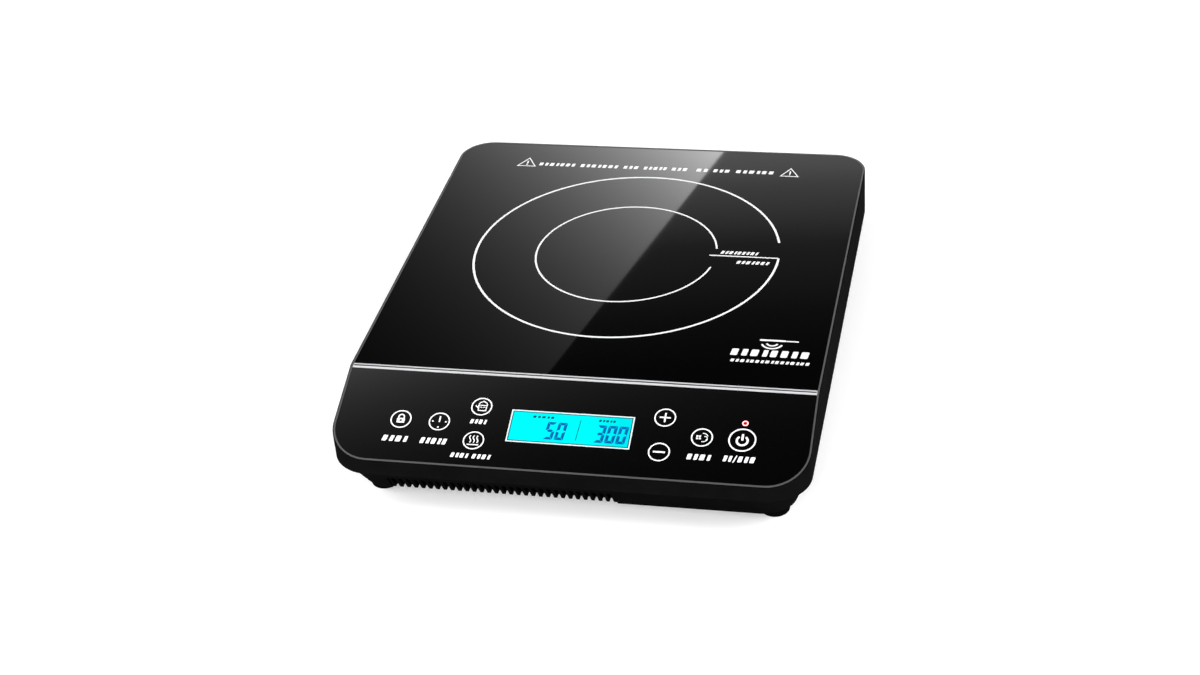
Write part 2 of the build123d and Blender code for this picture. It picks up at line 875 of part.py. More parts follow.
# ---- fan -----------------------------------------------------------------------------------------
tube_top = fan_z + fan_height - fan_head
with BuildPart() as fan_frame:
    with BuildSketch(Plane.XY.offset(fan_z)):
        with Locations((fan_x, fan_y)):
            RectangleRounded(fan_size, fan_size, fan_hole)
            Circle(fan_bore, mode=Mode.SUBTRACT)
        with Locations(*fan_holes):
            Circle(small_screw, mode=Mode.SUBTRACT)
    extrude(amount=fan_height)
    with BuildSketch(Plane.XY.offset(fan_z)):
        with Locations((fan_x, fan_y)):
            Circle(hub_radius)
            Rectangle(fan_size - fan_hole, fan_hole, rotation=45)
            Rectangle(fan_size - fan_hole, fan_hole, rotation=-45)
    extrude(amount=fan_web)
    with BuildSketch(Plane.XY.offset(fan_z)):
        with Locations((fan_x, fan_y)):
            Circle(fan_tube)
    extrude(amount=tube_top - fan_z)
    with BuildSketch(Plane.XY.offset(tube_top)):
        with Locations((fan_x, fan_y)):
            Circle(bearing_radius)
    extrude(amount=fan_z + fan_web - tube_top, mode=Mode.SUBTRACT)

with BuildPart() as fan_bearing:
    with Locations((fan_x, fan_y, fan_z + fan_web)):
        Cylinder(bearing_radius, tube_top - fan_z - fan_web, align=LOW)
        Cylinder(
            shaft_radius + running_clearance,
            tube_top - fan_z - fan_web,
            align=LOW,
            mode=Mode.SUBTRACT,
        )

with BuildPart() as fan_stator:
    with Locations((fan_x, fan_y, fan_z + fan_web)):
        Cylinder(stator_radius, tube_top - fan_z - fan_web - hub_gap, align=LOW)
        Cylinder(
            fan_tube,
            tube_top - fan_z - fan_web - hub_gap,
            align=LOW,
            mode=Mode.SUBTRACT,
        )
        with PolarLocations(stator_radius, stator_slots, 180 / stator_slots):
            Box(
                stator_radius * 0.8,
                stator_slot,
                tube_top - fan_z - fan_web - hub_gap,
                align=LOW,
                mode=Mode.SUBTRACT,
            )

rotor_low = fan_z + fan_web + hub_gap
rotor_top = fan_z + fan_height - hub_gap
cup_roof = rotor_top - hub_wall - hub_gap
blade_height = (rotor_top - rotor_low) * 0.8
with BuildPart() as fan_rotor:
    with Locations((fan_x, fan_y, (rotor_low + rotor_top) / 2)):
        with PolarLocations((hub_radius - hub_wall + fan_bore) / 2, blade_count):
            Box(fan_bore - hub_radius + hub_wall, blade, blade_height / cos(radians(blade_tilt)),
                rotation=(blade_tilt, 0, 0))
    with Locations((fan_x, fan_y, rotor_low)):
        Cylinder(fan_bore - blade_gap, rotor_top - rotor_low, align=LOW, mode=Mode.INTERSECT)
        Cylinder(hub_radius, rotor_top - rotor_low, align=LOW)
        Cylinder(hub_radius - hub_wall, cup_roof - rotor_low, align=LOW, mode=Mode.SUBTRACT)
    with Locations((fan_x, fan_y, cup_roof)):
        Cylinder(shaft_radius, hub_gap, align=LOW, mode=Mode.SUBTRACT)

with BuildPart() as fan_magnet:
    magnet_outer = hub_radius - hub_wall
    with Locations((fan_x, fan_y, rotor_low)):
        Cylinder(magnet_outer, tube_top - rotor_low, align=LOW)
        Cylinder(magnet_outer - magnet, tube_top - rotor_low, align=LOW, mode=Mode.SUBTRACT)

with BuildPart() as fan_shaft:
    with Locations((fan_x, fan_y, cup_roof + hub_gap)):
        Cylinder(shaft_radius, cup_roof - fan_z - fan_web, align=HIGH)

with BuildPart() as fan_screws:
    fan_screw = screw(small_head, small_head_height, small_screw, fan_height + fan_lift)
    with Locations(*[down(x, y, fan_z + fan_height) for x, y in fan_holes]):
        add(fan_screw)

# ---- control board, display and keys ---------------------------------------------------------------
carrier_half_opening = 60
carrier_opening_start = 20
carrier_opening_end = 50
with BuildPart() as control_carrier:
    with BuildSketch(panel_plane.offset(-carrier_top - carrier)):
        with Locations((0, -(carrier_start + carrier_end) / 2)):
            RectangleRounded(width - 2 * carrier_side, carrier_end - carrier_start, smallest_corner)
        with Locations((0, -(carrier_opening_start + carrier_opening_end) / 2)):
            Rectangle(
                2 * carrier_half_opening,
                carrier_opening_end - carrier_opening_start,
                mode=Mode.SUBTRACT,
            )
        with Locations(*carrier_holes):
            Circle(small_screw, mode=Mode.SUBTRACT)
    extrude(amount=carrier)

with BuildPart() as carrier_screws:
    carrier_screw = screw(small_head, small_head_height, small_screw, carrier + small_bite / 2)
    with Locations(
        *[
            panel_plane.location * Location((x, y, -carrier_top - carrier))
            for x, y in carrier_holes
        ]
    ):
        add(carrier_screw)

with BuildPart() as control_board:
    with BuildSketch(panel_plane.offset(-carrier_top)):
        with Locations((0, -(control_board_start + control_board_end) / 2)):
            Rectangle(width - 2 * carrier_side, control_board_end - control_board_start)
    extrude(amount=board)

with BuildPart() as touch_springs:
    with BuildSketch(panel_plane.offset(-control_top)):
        with Locations(*keys):
            Circle(spring_radius)
            Circle(spring_radius - spring_wall, mode=Mode.SUBTRACT)
    extrude(amount=key_gap)

with BuildPart() as display_housing:
    with BuildSketch(panel_plane.offset(-control_top)):
        with Locations((display_x, -display_row)):
            Rectangle(display_width + 2 * display_frame, display_length + 2 * display_frame)
            Rectangle(display_width, display_length, mode=Mode.SUBTRACT)
    extrude(amount=key_gap - display_gap)

with BuildPart() as display_backlight:
    with BuildSketch(panel_plane.offset(-control_top)):
        with Locations((display_x, -display_row)):
            Rectangle(display_width, display_length)
    extrude(amount=key_gap - display_gap - display_glass)

with BuildPart() as display_cell:
    with BuildSketch(panel_plane.offset(-glass - display_gap - display_glass)):
        with Locations((display_x, -display_row)):
            Rectangle(display_width, display_length)
    extrude(amount=display_glass)

with BuildPart() as power_lamp:
    with BuildSketch(panel_plane.offset(-control_top)):
        with Locations((outer_key_x, -led_row)):
            Circle(led_radius)
    extrude(amount=led_height)

with BuildPart() as light_guide:
    with BuildSketch(panel_plane.offset(-control_top + led_height)):
        with Locations((outer_key_x, -led_row)):
            Circle(led_radius)
    extrude(amount=key_gap - led_height)

control_socket_row = 35
control_socket_height = 5
with BuildPart() as control_socket:
    with BuildSketch(panel_plane.offset(-carrier_top)):
        with Locations((board_x + ribbon_socket[0], -control_socket_row)):
            Rectangle(ribbon_socket_length, socket_width)
    extrude(amount=-control_socket_height)

ribbon_width = 16
ribbon = 0.8
ribbon_bend = 4
ribbon_drop = 9
ribbon_rise = 11
with BuildPart() as ribbon_cable:
    top_plug = panel_plane.offset(-carrier_top - control_socket_height)
    start = top_plug.location * Location((board_x + ribbon_socket[0], -control_socket_row, 0))
    drop = top_plug.location * Location((board_x + ribbon_socket[0], -control_socket_row, -ribbon_drop))
    end_y = board_y + ribbon_socket[1]
    with BuildLine() as ribbon_path:
        FilletPolyline(
            start.position,
            drop.position,
            (board_x + ribbon_socket[0], end_y, board_top + socket_height + ribbon_rise),
            (board_x + ribbon_socket[0], end_y, board_top + socket_height),
            radius=ribbon_bend,
        )
    with BuildSketch(
        Plane(origin=ribbon_path.line @ 0, x_dir=(1, 0, 0), z_dir=ribbon_path.line % 0)
    ):
        Rectangle(ribbon_width, ribbon)
    sweep()

# ---- files -------------------------------------------------------------------------------------------
pieces = {
    "upper_casing": upper_casing,
    "lower_casing": lower_casing,
    "cooking_plate": cooking_plate,
    "control_panel": control_panel,
    "edge_trim": edge_trim,
    "trim_strip": trim_strip,
    "plate_seal": plate_seal,
    "panel_seal": panel_seal,
    "feet": feet,
    "foot_screws": foot_screws,
    "case_screws": case_screws,
    "cord_gland": cord_gland,
    "mica_sheet": mica_sheet,
    "coil_winding": coil_winding,
    "coil_former": coil_former,
    "ferrite_bars": ferrite_bars,
    "sensor_cap": sensor_cap,
    "temperature_sensor": temperature_sensor,
    "coil_screws": coil_screws,
    "main_board": main_board,
    "board_screws": board_screws,
    "heat_sink": heat_sink,
    "power_transistor": power_transistor,
    "bridge_rectifier": bridge_rectifier,
    "film_capacitors": film_capacitors,
    "choke": choke,
    "transformer": transformer,
    "electrolytic_capacitors": electrolytic_capacitors,
    "fuse": fuse,
    "surge_protector": surge_protector,
    "coil_terminals": coil_terminals,
    "board_sockets": board_sockets,
    "buzzer": buzzer,
    "coil_leads": coil_leads,
    "sensor_lead": sensor_lead,
    "fan_lead": fan_lead,
    "fan_frame": fan_frame,
    "fan_bearing": fan_bearing,
    "fan_stator": fan_stator,
    "fan_rotor": fan_rotor,
    "fan_magnet": fan_magnet,
    "fan_shaft": fan_shaft,
    "fan_screws": fan_screws,
    "control_carrier": control_carrier,
    "carrier_screws": carrier_screws,
    "control_board": control_board,
    "control_socket": control_socket,
    "touch_springs": touch_springs,
    "display_housing": display_housing,
    "display_backlight": display_backlight,
    "display_cell": display_cell,
    "power_lamp": power_lamp,
    "light_guide": light_guide,
    "ribbon_cable": ribbon_cable,
}
for name, piece in pieces.items():
    piece.part.label = name
    export_step(piece.part, f"parts/{name}.step")
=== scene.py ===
"""Looks of a portable induction cooktop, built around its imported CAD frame. Metres, Z up."""

import json
import math

import bmesh
import bpy
from mathutils import Matrix, Vector


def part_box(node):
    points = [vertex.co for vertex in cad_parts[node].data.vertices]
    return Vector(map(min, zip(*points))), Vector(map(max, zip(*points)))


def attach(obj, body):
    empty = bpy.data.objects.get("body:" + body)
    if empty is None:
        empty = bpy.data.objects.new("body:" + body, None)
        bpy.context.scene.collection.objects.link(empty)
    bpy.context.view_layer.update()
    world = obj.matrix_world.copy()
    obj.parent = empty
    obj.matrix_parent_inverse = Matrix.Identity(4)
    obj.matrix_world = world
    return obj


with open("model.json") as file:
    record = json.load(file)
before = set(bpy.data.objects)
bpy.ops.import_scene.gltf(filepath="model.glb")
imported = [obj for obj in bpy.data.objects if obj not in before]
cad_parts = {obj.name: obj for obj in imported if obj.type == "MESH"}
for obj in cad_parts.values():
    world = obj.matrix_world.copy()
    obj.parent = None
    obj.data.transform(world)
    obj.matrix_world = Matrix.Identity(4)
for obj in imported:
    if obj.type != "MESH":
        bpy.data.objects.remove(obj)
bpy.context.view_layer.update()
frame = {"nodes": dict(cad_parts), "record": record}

MM = 0.001
ROOT = "cooktop"

# ---- places taken from the frame -----------------------------------------------------------------
strip_low, strip_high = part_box("trim_strip")
plate_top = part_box("cooking_plate")[1].z
fold_y = (strip_low.y + strip_high.y) / 2
slope = math.radians(18.7)  # of the control panel


def on_plate(x, y, lift):
    """A point on the cooking plate, in millimetres from the middle of the outline."""
    return Vector((x * MM, y * MM, plate_top + lift * MM))


def on_panel(x, y, lift):
    """A point on the sloping panel, y millimetres along the slope from the fold, up being positive."""
    along = Vector((0, math.cos(slope), math.sin(slope)))
    out = Vector((0, -math.sin(slope), math.cos(slope)))
    return Vector((x * MM, fold_y, plate_top)) + along * (y * MM) + out * (lift * MM)


# ---- materials -----------------------------------------------------------------------------------
PATTERN_RANGE = (0.3, 0.7)  # where most of a noise pattern's values lie
TONE_RANGE = (0.35, 0.65)  # a narrower range, so that both tones show plainly
LIT_ROUGHNESS = 0.12


def new_material(name):
    """An empty node material with its principled shader."""
    material = bpy.data.materials.new(name)
    material.use_nodes = True
    nodes = material.node_tree.nodes
    return material, nodes, material.node_tree.links, nodes["Principled BSDF"]


def noise(nodes, links, scale, detail, stretch=(1, 1, 1)):
    """A noise pattern in object space; stretch draws it out along an axis."""
    place = nodes.new("ShaderNodeTexCoord")
    mapping = nodes.new("ShaderNodeMapping")
    mapping.inputs["Scale"].default_value = stretch
    pattern = nodes.new("ShaderNodeTexNoise")
    pattern.inputs["Scale"].default_value = scale
    pattern.inputs["Detail"].default_value = detail
    links.new(place.outputs["Object"], mapping.inputs["Vector"])
    links.new(mapping.outputs["Vector"], pattern.inputs["Vector"])
    return pattern.outputs["Fac"]


def spread(nodes, links, fac, low, high):
    """Maps a pattern to a range of values."""
    ranged = nodes.new("ShaderNodeMapRange")
    ranged.inputs["From Min"].default_value = PATTERN_RANGE[0]
    ranged.inputs["From Max"].default_value = PATTERN_RANGE[1]
    ranged.inputs["To Min"].default_value = low
    ranged.inputs["To Max"].default_value = high
    links.new(fac, ranged.inputs["Value"])
    return ranged.outputs["Result"]


def tint(nodes, links, fac, dark, light):
    """Colour variation between two tones."""
    ramp = nodes.new("ShaderNodeValToRGB")
    ramp.color_ramp.elements[0].position = TONE_RANGE[0]
    ramp.color_ramp.elements[0].color = (*dark, 1)
    ramp.color_ramp.elements[1].position = TONE_RANGE[1]
    ramp.color_ramp.elements[1].color = (*light, 1)
    links.new(fac, ramp.inputs["Fac"])
    return ramp.outputs["Color"]


def bump(nodes, links, shader, height, strength, distance):
    """Fine relief from a pattern."""
    relief = nodes.new("ShaderNodeBump")
    relief.inputs["Strength"].default_value = strength
    relief.inputs["Distance"].default_value = distance
    links.new(height, relief.inputs["Height"])
    links.new(relief.outputs["Normal"], shader.inputs["Normal"])


def plastic(name, colour, rough, grain=4000, relief=0.15, metal=0.0, depth=0.00004):
    """Moulded plastic, rubber or painted metal: a fine grain, with uneven tone and gloss."""
    material, nodes, links, shader = new_material(name)
    broad = noise(nodes, links, 60, 3)
    fine = noise(nodes, links, grain, 2)
    dark = [c * 0.85 for c in colour]
    light = [min(1, c * 1.15) for c in colour]
    links.new(tint(nodes, links, broad, dark, light), shader.inputs["Base Color"])
    links.new(spread(nodes, links, fine, rough * 0.85, rough * 1.15), shader.inputs["Roughness"])
    bump(nodes, links, shader, fine, relief, depth)
    shader.inputs["Metallic"].default_value = metal
    return material


def casing(name, colour, grain, coat):
    """Black moulded casing: a fine grain under a weak, broad sheen."""
    material = plastic(name, colour, 0.5, grain, 0.25)
    shader = material.node_tree.nodes["Principled BSDF"]
    shader.inputs["Specular IOR Level"].default_value = 0.0
    shader.inputs["Coat Weight"].default_value = coat
    shader.inputs["Coat Roughness"].default_value = 0.28
    return material


def satin(name, colour, rough, metal, stretch=(1, 40, 40)):
    """Silver lacquer or satin metal: soft, with faint lines along its length."""
    material, nodes, links, shader = new_material(name)
    lines = noise(nodes, links, 120, 3, stretch)
    dark = [c * 0.9 for c in colour]
    links.new(tint(nodes, links, lines, dark, colour), shader.inputs["Base Color"])
    links.new(spread(nodes, links, lines, rough * 0.85, rough * 1.15), shader.inputs["Roughness"])
    bump(nodes, links, shader, lines, 0.08, 0.00002)
    shader.inputs["Metallic"].default_value = metal
    return material


def brushed(name, colour, rough, stretch=(1, 40, 40)):
    """Metal with brushing lines across one axis."""
    material, nodes, links, shader = new_material(name)
    lines = noise(nodes, links, 160, 4, stretch)
    dark = [c * 0.82 for c in colour]
    links.new(tint(nodes, links, lines, dark, colour), shader.inputs["Base Color"])
    links.new(spread(nodes, links, lines, rough * 0.7, rough * 1.3), shader.inputs["Roughness"])
    bump(nodes, links, shader, lines, 0.12, 0.00003)
    shader.inputs["Metallic"].default_value = 1.0
    return material


def black_glass(name):
    """Polished black glass with faint wiping marks in its gloss."""
    material, nodes, links, shader = new_material(name)
    wipes = noise(nodes, links, 18, 5, (1, 0.35, 1))
    specks = noise(nodes, links, 900, 2)
    links.new(tint(nodes, links, specks, (0.0006,) * 3, (0.001,) * 3), shader.inputs["Base Color"])
    links.new(spread(nodes, links, wipes, 0.015, 0.035), shader.inputs["Roughness"])
    shader.inputs["IOR"].default_value = 1.5
    return material


def ink(name, colour, rough=0.45):
    """Fired-on print with slightly uneven cover."""
    material, nodes, links, shader = new_material(name)
    cover = noise(nodes, links, 700, 3)
    dark = [c * 0.9 for c in colour]
    links.new(tint(nodes, links, cover, dark, colour), shader.inputs["Base Color"])
    shader.inputs["Roughness"].default_value = rough
    bump(nodes, links, shader, cover, 0.05, 0.00002)
    return material


def glow(name, dark, light, strength):
    """A lit surface, a little uneven."""
    material, nodes, links, shader = new_material(name)
    cover = noise(nodes, links, 40, 2)
    colour = tint(nodes, links, cover, dark, light)
    links.new(colour, shader.inputs["Base Color"])
    links.new(colour, shader.inputs["Emission Color"])
    shader.inputs["Emission Strength"].default_value = strength
    shader.inputs["Roughness"].default_value = LIT_ROUGHNESS
    return material


glass_look = black_glass("glass_look")
upper_look = casing("upper_look", (0.0034, 0.0034, 0.0035), 2600, 0.014)
lower_look = casing("lower_look", (0.0018, 0.0018, 0.0019), 2000, 0.012)
rubber_look = casing("rubber_look", (0.002, 0.002, 0.002), 1500, 0.015)
trim_look = satin("trim_look", (0.15, 0.151, 0.154), 0.36, 0.6)
strip_look = satin("strip_look", (0.7, 0.705, 0.715), 0.42, 0.3)
steel_look = brushed("steel_look", (0.6, 0.6, 0.62), 0.25)
white_ink = ink("white_ink", (0.86, 0.87, 0.88))
pale_ink = ink("pale_ink", (0.66, 0.72, 0.74))
black_ink = ink("black_ink", (0.01, 0.01, 0.01))
# painted shade: the dark film laid in the strip's groove
painted_groove_shade = satin("painted_groove_shade", (0.03, 0.03, 0.031), 0.5, 0.3)

slot_looks = {
    "upper_case": upper_look,
    "lower_case": lower_look,
    "glass_top": glass_look,
    "silver_trim": trim_look,
    "strip_metal": strip_look,
    "seal_rubber": plastic("seal_look", (0.02, 0.02, 0.02), 0.6),
    "foot_rubber": rubber_look,
    "screw_steel": steel_look,
    "mica": plastic("mica_look", (0.62, 0.55, 0.42), 0.5, 800, 0.3),
    "litz_wire": brushed("litz_look", (0.72, 0.34, 0.16), 0.35, (30, 30, 1)),
    "inner_plastic": plastic("inner_look", (0.75, 0.74, 0.70), 0.5),
    "ferrite": plastic("ferrite_look", (0.06, 0.06, 0.065), 0.55, 900, 0.4),
    "board_laminate": plastic("laminate_look", (0.03, 0.18, 0.07), 0.35),
    "sink_metal": brushed("sink_look", (0.78, 0.78, 0.8), 0.35),
    "package_black": plastic("package_look", (0.02, 0.02, 0.02), 0.5),
    "film_case": plastic("film_look", (0.65, 0.42, 0.05), 0.3),
    "coil_copper": brushed("copper_look", (0.75, 0.36, 0.18), 0.3, (20, 20, 1)),
    "capacitor_sleeve": plastic("sleeve_look", (0.02, 0.04, 0.14), 0.3),
    "fuse_holder": plastic("fuse_look", (0.8, 0.8, 0.76), 0.4),
    "varistor_blue": plastic("varistor_look", (0.03, 0.12, 0.5), 0.35),
    "terminal_metal": brushed("terminal_look", (0.8, 0.62, 0.25), 0.3),
    "socket_plastic": plastic("socket_look", (0.85, 0.8, 0.68), 0.45),
    "wire_sleeve": plastic("wire_look", (0.75, 0.75, 0.75), 0.6),
    "fan_plastic": plastic("fan_look", (0.02, 0.02, 0.021), 0.45),
    "bronze": brushed("bronze_look", (0.55, 0.36, 0.16), 0.4),
    "magnet": plastic("magnet_look", (0.05, 0.045, 0.045), 0.6),
    "shaft_steel": brushed("shaft_look", (0.7, 0.7, 0.72), 0.15),
    "spring_steel": brushed("spring_look", (0.6, 0.6, 0.6), 0.25),
    "display_frame": plastic("housing_look", (0.8, 0.8, 0.8), 0.4),
    "display_light": plastic("backlight_look", (0.05, 0.7, 0.75), 0.4),
    "display_glass": plastic("cell_look", (0.05, 0.5, 0.55), 0.1),
    "lamp_red": plastic("lamp_look", (0.6, 0.02, 0.02), 0.2),
}
for part in frame["record"]["subparts"]:
    node = frame["nodes"][part["node"]]
    node.data.materials.clear()
    node.data.materials.append(slot_looks[part["material_slot"]])


# ---- printed shapes ------------------------------------------------------------------------------
def arc(x, y, radius, start, end, steps=None):
    """Points on an arc; angles in degrees."""
    steps = steps or max(8, int(abs(end - start) / 3))
    turns = [math.radians(start + (end - start) * i / steps) for i in range(steps + 1)]
    return [(x + radius * math.cos(t), y + radius * math.sin(t)) for t in turns]


class Print:
    """Flat shapes on one face of the cooktop, raised by a film's thickness."""

    def __init__(self, place, base=0.0, film=0.06):
        self.place = place
        self.base = base
        self.film = film
        self.faces = []
        self.points = []

    def fill(self, outline):
        """A filled outline."""
        first = len(self.points)
        self.points += outline
        self.faces.append(list(range(first, first + len(outline))))

    def disc(self, x, y, radius):
        """A filled circle."""
        self.fill(arc(x, y, radius, 0, 360, 40)[:-1])

    def bar(self, left, low, right, high, corner=0.0, lean=0.0):
        """A rectangle with rounded corners that leans like slanted type."""
        if corner:
            outline = []
            spots = ((right, high, 0), (left, high, 90), (left, low, 180), (right, low, 270))
            for x, y, turn in spots:
                cx = x - corner if x == right else x + corner
                cy = y - corner if y == high else y + corner
                outline += arc(cx, cy, corner, turn, turn + 90, 4)
        else:
            outline = [(right, high), (left, high), (left, low), (right, low)]
        self.fill([(x + (y - low) * lean, y) for x, y in outline])

    def stroke(self, path, width, closed=False):
        """A line of even width along a path."""
        count = len(path)
        sides = []
        for i, (x, y) in enumerate(path):
            before = path[i - 1] if closed or i else path[i]
            after = path[(i + 1) % count] if closed or i < count - 1 else path[i]
            first = Vector((x - before[0], y - before[1]))
            second = Vector((after[0] - x, after[1] - y))
            first = first.normalized() if first.length else second.normalized()
            second = second.normalized() if second.length else first
            mid = (first + second).normalized()
            grow = width / 2 / max(0.5, mid.dot(first))
            sides.append((-mid.y * grow, mid.x * grow))
        start = len(self.points)
        for (x, y), (dx, dy) in zip(path, sides):
            self.points += [(x + dx, y + dy), (x - dx, y - dy)]
        for i in range(count if closed else count - 1):
            a = start + 2 * i
            b = start + 2 * ((i + 1) % count)
            self.faces.append([a, a + 1, b + 1, b])

    def ring(self, x, y, radius, width):
        """A full circle line."""
        self.stroke(arc(x, y, radius, 0, 360, 96)[:-1], width, closed=True)

    def build(self, name, look):
        """Makes the piece from what was printed."""
        shape = bmesh.new()
        corners = [shape.verts.new((x, y, 0)) for x, y in self.points]
        for face in self.faces:
            shape.faces.new([corners[i] for i in face])
        grown = bmesh.ops.extrude_face_region(shape, geom=shape.faces[:])["geom"]
        for corner in [item for item in grown if isinstance(item, bmesh.types.BMVert)]:
            corner.co.z = 1
        bmesh.ops.recalc_face_normals(shape, faces=shape.faces[:])
        for corner in shape.verts:
            lift = self.base + corner.co.z * self.film
            corner.co = self.place(corner.co.x, corner.co.y, lift)
        mesh = bpy.data.meshes.new(name)
        shape.to_mesh(mesh)
        shape.free()
        return add_piece(name, mesh, look)


def add_piece(name, mesh, look, body=ROOT):
    """Puts a mesh in the scene as a piece of a body."""
    mesh.materials.append(look)
    piece = bpy.data.objects.new(name, mesh)
    bpy.context.scene.collection.objects.link(piece)
    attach(piece, body)
    return piece


# painted shade: a dark bar laid in the strip's groove, between the strip's two bright edges, darkening
# it beyond its own shadow
groove_width = 1.1
groove_end = strip_high.x / MM - 0.4
groove_low = fold_y / MM - groove_width / 2
groove_shade_bar = Print(on_plate, base=0.0, film=0.12)
groove_shade_bar.bar(-groove_end, groove_low, groove_end, groove_low + groove_width)
groove_shade_bar.build("strip_groove_painted_shade", painted_groove_shade)

# ---- marks on the cooking plate ------------------------------------------------------------------
zone_y = 34.3
outer_ring = 100.8
inner_ring = 59.75
outer_span = (12.1, 360.9)  # degrees; both rings stay open on the right
inner_span = (10.1, 347.8)
pointer_y = 36.1
pointer_start = 55.3

zone = Print(on_plate)
zone.stroke(arc(0, zone_y, outer_ring, *outer_span, 160), 1.5)
zone.stroke(arc(0, zone_y, inner_ring, *inner_span, 120), 1.2)
zone.stroke([(pointer_start, pointer_y), (outer_ring, pointer_y)], 1.1)
zone.build("zone_rings", white_ink)


BLOCK_SHARES = (1.0, 0.8, 1.1, 0.7, 0.95)
BLOCK_COVER = 0.62  # how much of its share of the row a block fills
BLOCK_CORNER = 0.12


def word(sheet, left, right, low, high, letters, lean=0.2):
    """A word as plain blocks of uneven width, one for each letter."""
    shares = [BLOCK_SHARES[i % len(BLOCK_SHARES)] for i in range(letters)]
    unit = (right - left) / sum(shares)
    start = left
    for share in shares:
        wide = share * unit
        sheet.bar(start, low, start + wide * BLOCK_COVER, high, wide * BLOCK_CORNER, lean)
        start += wide


warning_low, warning_high = 146.3, 150.4
words = Print(on_plate)
word(words, 62, 87, 38.6, 42.2, 9, 0.3)
word(words, 74, 96, 27.2, 30.8, 7, 0.3)
for left, right, letters in ((-85, -58, 7), (-55, -27, 7), (-24, -12, 3), (-9.5, 8, 5),
                             (10.5, 23, 3), (28, 37.5, 2), (40, 53, 3), (56, 84, 6)):
    word(words, left, right, warning_low, warning_high, letters, 0.12)
words.build("plate_words", white_ink)

signs = Print(on_plate)
for left, right, low, top in ((-100.0, -87.4, 144.9, 156.2), (87.8, 99.9, 144.5, 155.4)):
    middle = (left + right) / 2
    signs.stroke([(left, low), (right, low), (middle, top)], 0.8, closed=True)
    signs.bar(middle - 0.5, low + 3.4, middle + 0.5, low + 7.2)
    signs.disc(middle, low + 2.2, 0.6)
signs.build("warning_signs", white_ink)

# a plain pan over two arcs of heat, and two plain lines of blocks
emblem = Print(on_plate)
for radius in (6.5, 3.5):
    emblem.stroke(arc(110, -62, radius, 200, 340, 24), 1.2)
emblem.bar(102, -60.5, 118, -58.8, 0.6)
emblem.bar(118, -60.3, 126, -59.2, 0.5)
word(emblem, 86, 136, -77.5, -70.5, 8, 0.1)
word(emblem, 87, 136, -84.5, -81.6, 16, 0.2)
emblem.build("plate_emblem", white_ink)

# ---- marks on the control panel ------------------------------------------------------------------
middle_row = -37.4
upper_row = -24.9
lower_row = -49.6
left_row = -38.2
boil_row, warm_row = -25.4, -50.2
lock_x, timer_x, pair_x, menu_x, power_x = -103.7, -79.7, 56.0, 79.7, 103.5
key_radius = 6.1
power_radius = 7.75

rings = Print(on_panel)
for x, y in ((lock_x, left_row), (timer_x, left_row), (-pair_x, boil_row),
             (-pair_x, warm_row), (pair_x, upper_row), (pair_x, lower_row),
             (menu_x, middle_row)):
    rings.ring(x, y, key_radius, 0.8)
rings.ring(power_x, middle_row, power_radius, 0.9)
rings.build("key_rings", white_ink)

symbols = Print(on_panel)
holes = Print(on_panel, base=0.06, film=0.03)

# padlock
symbols.bar(lock_x - 2.45, left_row - 2.7, lock_x + 2.45, left_row + 0.8, 0.5)
symbols.stroke(
    [(lock_x - 1.7, left_row + 0.8)]
    + arc(lock_x, left_row + 1.7, 1.7, 180, 0, 16)
    + [(lock_x + 1.7, left_row + 0.8)],
    0.8,
)
holes.disc(lock_x, left_row - 0.9, 0.75)

# clock: one hand and three hour marks
symbols.bar(timer_x - 0.45, left_row - 0.4, timer_x + 0.45, left_row + 4.0, 0.2)
for x, y in ((-4.1, 0), (4.1, 0), (0, -4.1)):
    symbols.disc(timer_x + x, left_row + y, 0.55)

# boiling pot with a handle
pot_x = -pair_x + 0.6
symbols.stroke(
    [(pot_x - 2.6, boil_row + 0.9), (pot_x - 2.3, boil_row - 2.9),
     (pot_x + 2.3, boil_row - 2.9), (pot_x + 2.6, boil_row + 0.9)],
    0.6,
    closed=True,
)
symbols.stroke(arc(pot_x, boil_row + 0.9, 2.7, 10, 170, 20), 0.6)
symbols.stroke([(pot_x - 2.4, boil_row - 1.2), (pot_x - 4.4, boil_row + 0.6)], 0.7)
symbols.disc(pot_x, boil_row + 3.9, 0.5)
for shift in (-1.0, 1.0):
    symbols.stroke(arc(pot_x + shift, boil_row - 1.0, 0.7, 20, 160, 10), 0.4)

# three waves over a bar
for shift in (-2.2, 0, 2.2):
    wave = [
        (
            -pair_x + shift + 0.55 * math.sin(i / 14 * 2 * math.pi),
            warm_row - 1.7 + 5.2 * i / 14,
        )
        for i in range(15)
    ]
    symbols.stroke(wave, 0.65)
symbols.bar(-pair_x - 3.6, warm_row - 3.4, -pair_x + 3.6, warm_row - 2.7, 0.2)

# plus and minus
symbols.bar(pair_x - 3.4, upper_row - 0.5, pair_x + 3.4, upper_row + 0.5, 0.2)
symbols.bar(pair_x - 0.5, upper_row - 3.4, pair_x + 0.5, upper_row + 3.4, 0.2)
symbols.bar(pair_x - 3.6, lower_row - 0.55, pair_x + 3.6, lower_row + 0.55, 0.2)

# four squares and three curved strokes
for column in (0, 1):
    for row in (0, 1):
        left = menu_x - 3.4 + column * 1.6
        low = middle_row - 1.4 + row * 1.6
        symbols.bar(left, low, left + 1.2, low + 1.2, 0.2)
symbols.stroke(arc(menu_x + 0.6, middle_row, 3.0, 100, 20, 14), 0.5)
symbols.stroke(arc(menu_x + 0.6, middle_row, 3.0, -100, -20, 14), 0.5)
symbols.stroke(arc(menu_x + 1.9, middle_row - 0.4, 1.3, -70, 120, 12), 0.45)

# power
symbols.stroke(arc(power_x, middle_row - 0.5, 3.2, 125, 415, 48), 1.3)
symbols.bar(power_x - 0.65, middle_row - 0.4, power_x + 0.65, middle_row + 4.2, 0.3)
symbols.build("key_symbols", white_ink)
holes.build("symbol_holes", black_ink)

